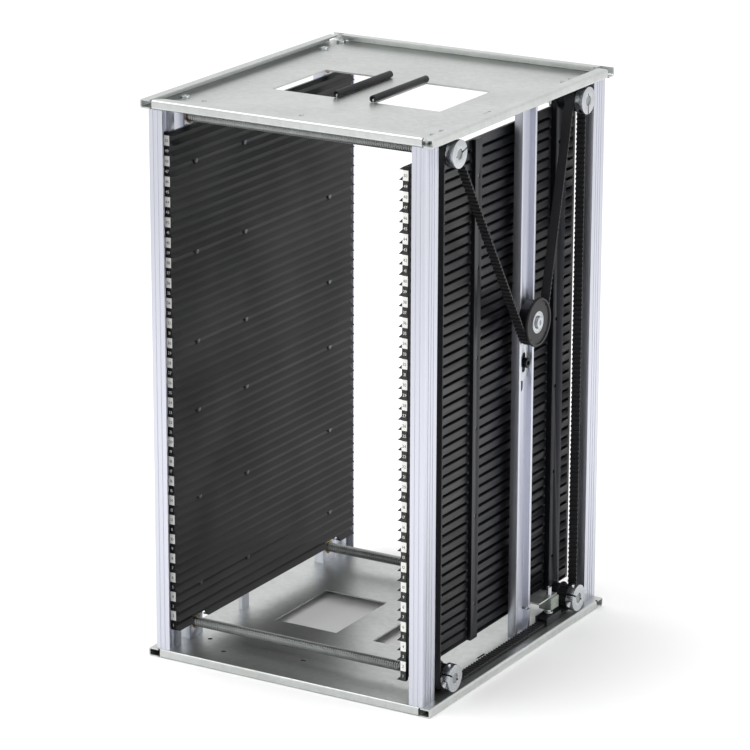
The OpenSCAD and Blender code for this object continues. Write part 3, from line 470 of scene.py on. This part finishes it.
def screw_tree():
    """A bar along X whose radius follows a helix between two plain ends."""
    tree = bpy.data.node_groups.new("threaded_bar", "GeometryNodeTree")
    face = tree.interface
    face.new_socket("Geometry", in_out="OUTPUT", socket_type="NodeSocketGeometry")
    sizes = {}
    for name, kind in (
        ("Axis", "NodeSocketVector"),
        ("Length", "NodeSocketFloat"),
        ("Radius", "NodeSocketFloat"),
        ("Lead", "NodeSocketFloat"),
        ("Depth", "NodeSocketFloat"),
        ("Thread From", "NodeSocketFloat"),
        ("Thread To", "NodeSocketFloat"),
        ("Rows", "NodeSocketInt"),
        ("Sides", "NodeSocketInt"),
        ("Finish", "NodeSocketMaterial"),
    ):
        sizes[name] = face.new_socket(name, in_out="INPUT", socket_type=kind).identifier
    given = add(tree, "NodeGroupInput").outputs

    def sum_of(kind, a, b, c=0.0):
        return add(tree, "ShaderNodeMath", {"operation": kind}, _0=a, _1=b, _2=c).outputs[0]

    sheet = add(
        tree,
        "GeometryNodeMeshGrid",
        None,
        Size_X=given["Length"],
        Size_Y=1.0,
        Vertices_X=given["Rows"],
        Vertices_Y=given["Sides"],
    )
    at = add(tree, "ShaderNodeSeparateXYZ", None, Vector=add(tree, "GeometryNodeInputPosition").outputs[0])
    along = sum_of("MULTIPLY_ADD", given["Length"], 0.5, at.outputs["X"])
    phase = sum_of("SUBTRACT", sum_of("DIVIDE", along, given["Lead"]), at.outputs["Y"])
    wave = sum_of("PINGPONG", phase, 0.5)
    groove = add(tree, "ShaderNodeMapRange", None, Value=wave)
    for name, value in (("From Min", 0.1), ("From Max", 0.4), ("To Min", 0.0), ("To Max", 1.0)):
        groove.inputs[name].default_value = value
    after = sum_of("GREATER_THAN", along, given["Thread From"])
    before = sum_of("LESS_THAN", along, given["Thread To"])
    cut = sum_of("MULTIPLY", sum_of("MULTIPLY", after, before), groove.outputs["Result"])
    radius = sum_of("SUBTRACT", given["Radius"], sum_of("MULTIPLY", cut, given["Depth"]))
    angle = sum_of("MULTIPLY", at.outputs["Y"], 2 * math.pi)
    ring = add(
        tree,
        "ShaderNodeCombineXYZ",
        None,
        X=along,
        Y=sum_of("MULTIPLY", sum_of("COSINE", angle, 0.0), radius),
        Z=sum_of("MULTIPLY", sum_of("SINE", angle, 0.0), radius),
    )
    moved = add(
        tree, "ShaderNodeVectorMath", {"operation": "ADD"}, _0=ring.outputs[0], _1=given["Axis"]
    )
    wrapped = add(
        tree, "GeometryNodeSetPosition", None, Geometry=sheet.outputs[0], Position=moved.outputs[0]
    )
    joined = add(tree, "GeometryNodeMergeByDistance", None, Geometry=wrapped.outputs[0], Distance=WELD)
    real = add(tree, "GeometryNodeRealizeInstances", None, Geometry=joined.outputs[0])
    painted = add(
        tree, "GeometryNodeSetMaterial", None, Geometry=real.outputs[0], Material=given["Finish"]
    )
    add(tree, "NodeGroupOutput", None, Geometry=painted.outputs[0])
    return tree, sizes


THREAD_LEAD_MM = 2.5
ROWS_A_TURN = 8
# rolled steel, slightly oiled: darker than the turned parts, so that the thread shows
thread_steel = turned("rolled_bright_steel", "#A6A9A8", "#7E8180", 0.34)
bar_tree, bar_in = screw_tree()
CORNERS = ("bottom_front", "bottom_back", "top_front", "top_back")
for corner in CORNERS:
    name = "lead_screw_" + corner
    low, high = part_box(name)
    length = high.x - low.x
    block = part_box("bearing_blocks")[0].x
    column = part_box("fixed_column_front")[1].x
    bar = grown(
        name + "_threaded",
        bar_tree,
        bar_in,
        {
            "Axis": (low.x, (low.y + high.y) / 2, (low.z + high.z) / 2),
            "Length": length,
            "Radius": (high.z - low.z) / 2,
            "Lead": THREAD_LEAD_MM * MM,
            "Depth": 1.0 * MM,
            "Thread From": column - low.x + 1 * MM,
            "Thread To": block - low.x - 1 * MM,
            "Rows": int(length / (THREAD_LEAD_MM * MM) * ROWS_A_TURN),
            "Sides": 25,
            "Finish": thread_steel,
        },
    )
    closed = bmesh.new()
    closed.from_mesh(bar.data)
    bmesh.ops.holes_fill(closed, edges=[e for e in closed.edges if e.is_boundary])
    bmesh.ops.recalc_face_normals(closed, faces=closed.faces)
    closed.to_mesh(bar.data)
    closed.free()
    bar.data.set_sharp_from_angle(angle=math.radians(50))
    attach(bar, "screw_" + corner)
    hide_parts(name)

# ---------------------------------------------------------------------------
# Belt drive.
# Sixteen-tooth black pulleys and slit steel clamp collars on the screws' right-hand ends.
# One open-mesh rubber timing belt runs round all four and under the idler.
# ---------------------------------------------------------------------------

# glass-filled nylon: black with a slightly rough, satin face
pulley_plastic = moulded("black_glass_filled_nylon", "#141518", 0.42, 0.7)
# black oxide: dark screws that still glint on their rims
black_oxide = turned("black_oxide_steel", "#26282B", "#17181A", 0.34)
for corner in CORNERS:
    eased("pulley_" + corner, 0.15, pulley_plastic, 1)
    eased("collar_" + corner, 0.5, turned_steel)
    eased("collar_screw_" + corner, 0.2, black_oxide)

# chloroprene rubber: dull black, with a dusty mottle that keeps the long runs from looking flat
belt_rubber, tree, shader, place = new_finish("chloroprene_rubber", 0.0, 0.58, "#101113")
dust = add(tree, "ShaderNodeTexNoise", None, Vector=place, Scale=every(4.55), Detail=5.0)
tree.links.new(two_tones(tree, dust.outputs["Fac"], "#0D0E10", "#1C1D20"), shader.inputs["Base Color"])
bump(tree, shader, dust.outputs["Fac"], 0.03, 0.5)
finish_nodes(belt_rubber, "timing_belt")

# ---------------------------------------------------------------------------
# Idler.
# A knurled black wheel on a ball bearing presses down on the belt's smooth back.
# Its axle stands on a steel plate clamped in the middle post's channel, so the tension can be set.
# ---------------------------------------------------------------------------

eased("idler_wheel", 0.25, pulley_plastic, 1)
for ring in ("idler_outer_ring", "idler_inner_ring", "idler_shields", "idler_axle"):
    eased(ring, 0.25, turned_steel)
finish_nodes(turned_steel, "idler_balls")
eased("idler_slide_plate", 0.3, turned_steel)
eased("idler_clamp_bar", 0.3, turned_steel)
eased("idler_clamp_screw", 0.35, black_oxide)

# ---------------------------------------------------------------------------
# Belt lock.
# A screw through a passivated block presses a black pad onto the belt in its guide.
# The block hangs from a folded steel shelf on the side of the middle post.
# ---------------------------------------------------------------------------

# passivated zinc: grey-green and patchy, unlike the steel round it
passivated, tree, shader, place = new_finish("passivated_zinc_casting", 0.85, 0.42, "#8A918A")
patch = add(tree, "ShaderNodeTexNoise", None, Vector=place, Scale=every(5.55), Detail=4.0)
tree.links.new(two_tones(tree, patch.outputs["Fac"], "#737A72", "#A2A99F"), shader.inputs["Base Color"])
bump(tree, shader, patch.outputs["Fac"], 0.04, 0.6)
eased("lock_block", 0.6, passivated)
eased("lock_bracket", 0.3, zinc)
eased("lock_guide", 0.3, pulley_plastic)
eased("lock_jaw", 0.4, pulley_plastic)
eased("lock_screw", 0.3, turned_steel)

# ---------------------------------------------------------------------------
# Small hardware and grips.
# Zinc-plated screws hold the uprights and blocks; small steel screws hold the slotted walls.
# Split vinyl tubes cover the raw edges that hands lift the rack by.
# ---------------------------------------------------------------------------

for screws in ("plate_screws_top", "plate_screws_bottom"):
    eased(screws, 0.3, turned_steel)
# dull zinc plating: heads that show on the black walls without sparkling
dull_steel = turned("dull_zinc_plated_steel", "#7A7E84", "#565A60", 0.42)
for screws in ("fixed_panel_screws", "sliding_panel_screws"):
    eased(screws, 0.3, dull_steel)
# soft vinyl: a broad, weak highlight along the tube
grip_vinyl = moulded("soft_black_vinyl_tube", "#17181B", 0.5, 1.0)
eased("grip_tubes", 0.2, grip_vinyl)

# ---------------------------------------------------------------------------
# Studio: pale floor, soft light from above and the sides, long lens.
# ---------------------------------------------------------------------------

floor_mesh = bpy.data.meshes.new("floor")
reach = 30.0
floor_mesh.from_pydata(
    [(-reach, -reach, 0), (reach, -reach, 0), (reach, reach, 0), (-reach, reach, 0)], [], [(0, 1, 2, 3)]
)
floor = put_in_scene("floor", floor_mesh)
floor_paint = new_finish("pale_studio_floor", 0.0, 0.9, "#FFFFFF")[0]
floor.data.materials.append(floor_paint)

world = bpy.data.worlds.new("studio")
bpy.context.scene.world = world
world.use_nodes = True
sky = world.node_tree
for node in list(sky.nodes):
    sky.nodes.remove(node)
ray = add(sky, "ShaderNodeLightPath").outputs
seen = add(
    sky,
    "ShaderNodeMath",
    {"operation": "MAXIMUM"},
    _0=ray["Is Camera Ray"],
    _1=add(
        sky,
        "ShaderNodeMath",
        {"operation": "MAXIMUM"},
        _0=ray["Is Glossy Ray"],
        _1=ray["Is Transmission Ray"],
    ).outputs[0],
).outputs[0]
ambient = add(sky, "ShaderNodeBackground", None, Color=linear("#FFFFFF"), Strength=0.98)
white = add(sky, "ShaderNodeBackground", None, Color=linear("#FFFFFF"), Strength=1.0)
mixed = add(sky, "ShaderNodeMixShader", None, _0=seen, _1=ambient.outputs[0], _2=white.outputs[0])
add(sky, "ShaderNodeOutputWorld", None, Surface=mixed.outputs[0])


def soft_lamp(name, place, aim, size, power):
    lamp = bpy.data.lights.new(name, "AREA")
    lamp.shape = "SQUARE"
    lamp.size = size
    lamp.energy = power
    stand = bpy.data.objects.new(name, lamp)
    bpy.context.collection.objects.link(stand)
    stand.location = place
    stand.rotation_euler = (Vector(aim) - Vector(place)).to_track_quat("-Z", "Y").to_euler()


soft_lamp("overhead", (-0.8, -0.6, 2.6), (0, 0, 0.3), 2.0, 34)
soft_lamp("right_side", (2.6, 0.2, 1.2), (0, 0, 0.3), 1.6, 16)

CAMERA_YAW = math.radians(30.584)
CAMERA_PITCH = math.radians(17.209)
CAMERA_ROLL = math.radians(0.152)
CAMERA_AWAY = 3.6818
CAMERA_LENS_MM = 179.6
AIM_RIGHT, AIM_UP = -0.005525, -0.012528
back = Vector(
    (
        math.sin(CAMERA_YAW) * math.cos(CAMERA_PITCH),
        -math.cos(CAMERA_YAW) * math.cos(CAMERA_PITCH),
        math.sin(CAMERA_PITCH),
    )
)
right = Vector((math.cos(CAMERA_YAW), math.sin(CAMERA_YAW), 0))
up = back.cross(right)
aim = Vector((0, 0, 0.2815)) + right * AIM_RIGHT + up * AIM_UP
lens = bpy.data.cameras.new("camera")
lens.lens = CAMERA_LENS_MM
lens.sensor_width = 36.0
lens.clip_end = 100.0
camera = bpy.data.objects.new("camera", lens)
bpy.context.collection.objects.link(camera)
turned_view = Matrix((right, up, back)).transposed() @ Matrix.Rotation(CAMERA_ROLL, 3, "Z")
camera.matrix_world = Matrix.Translation(aim + back * CAMERA_AWAY) @ turned_view.to_4x4()
bpy.context.scene.camera = camera
bpy.context.scene.view_settings.view_transform = "Standard"
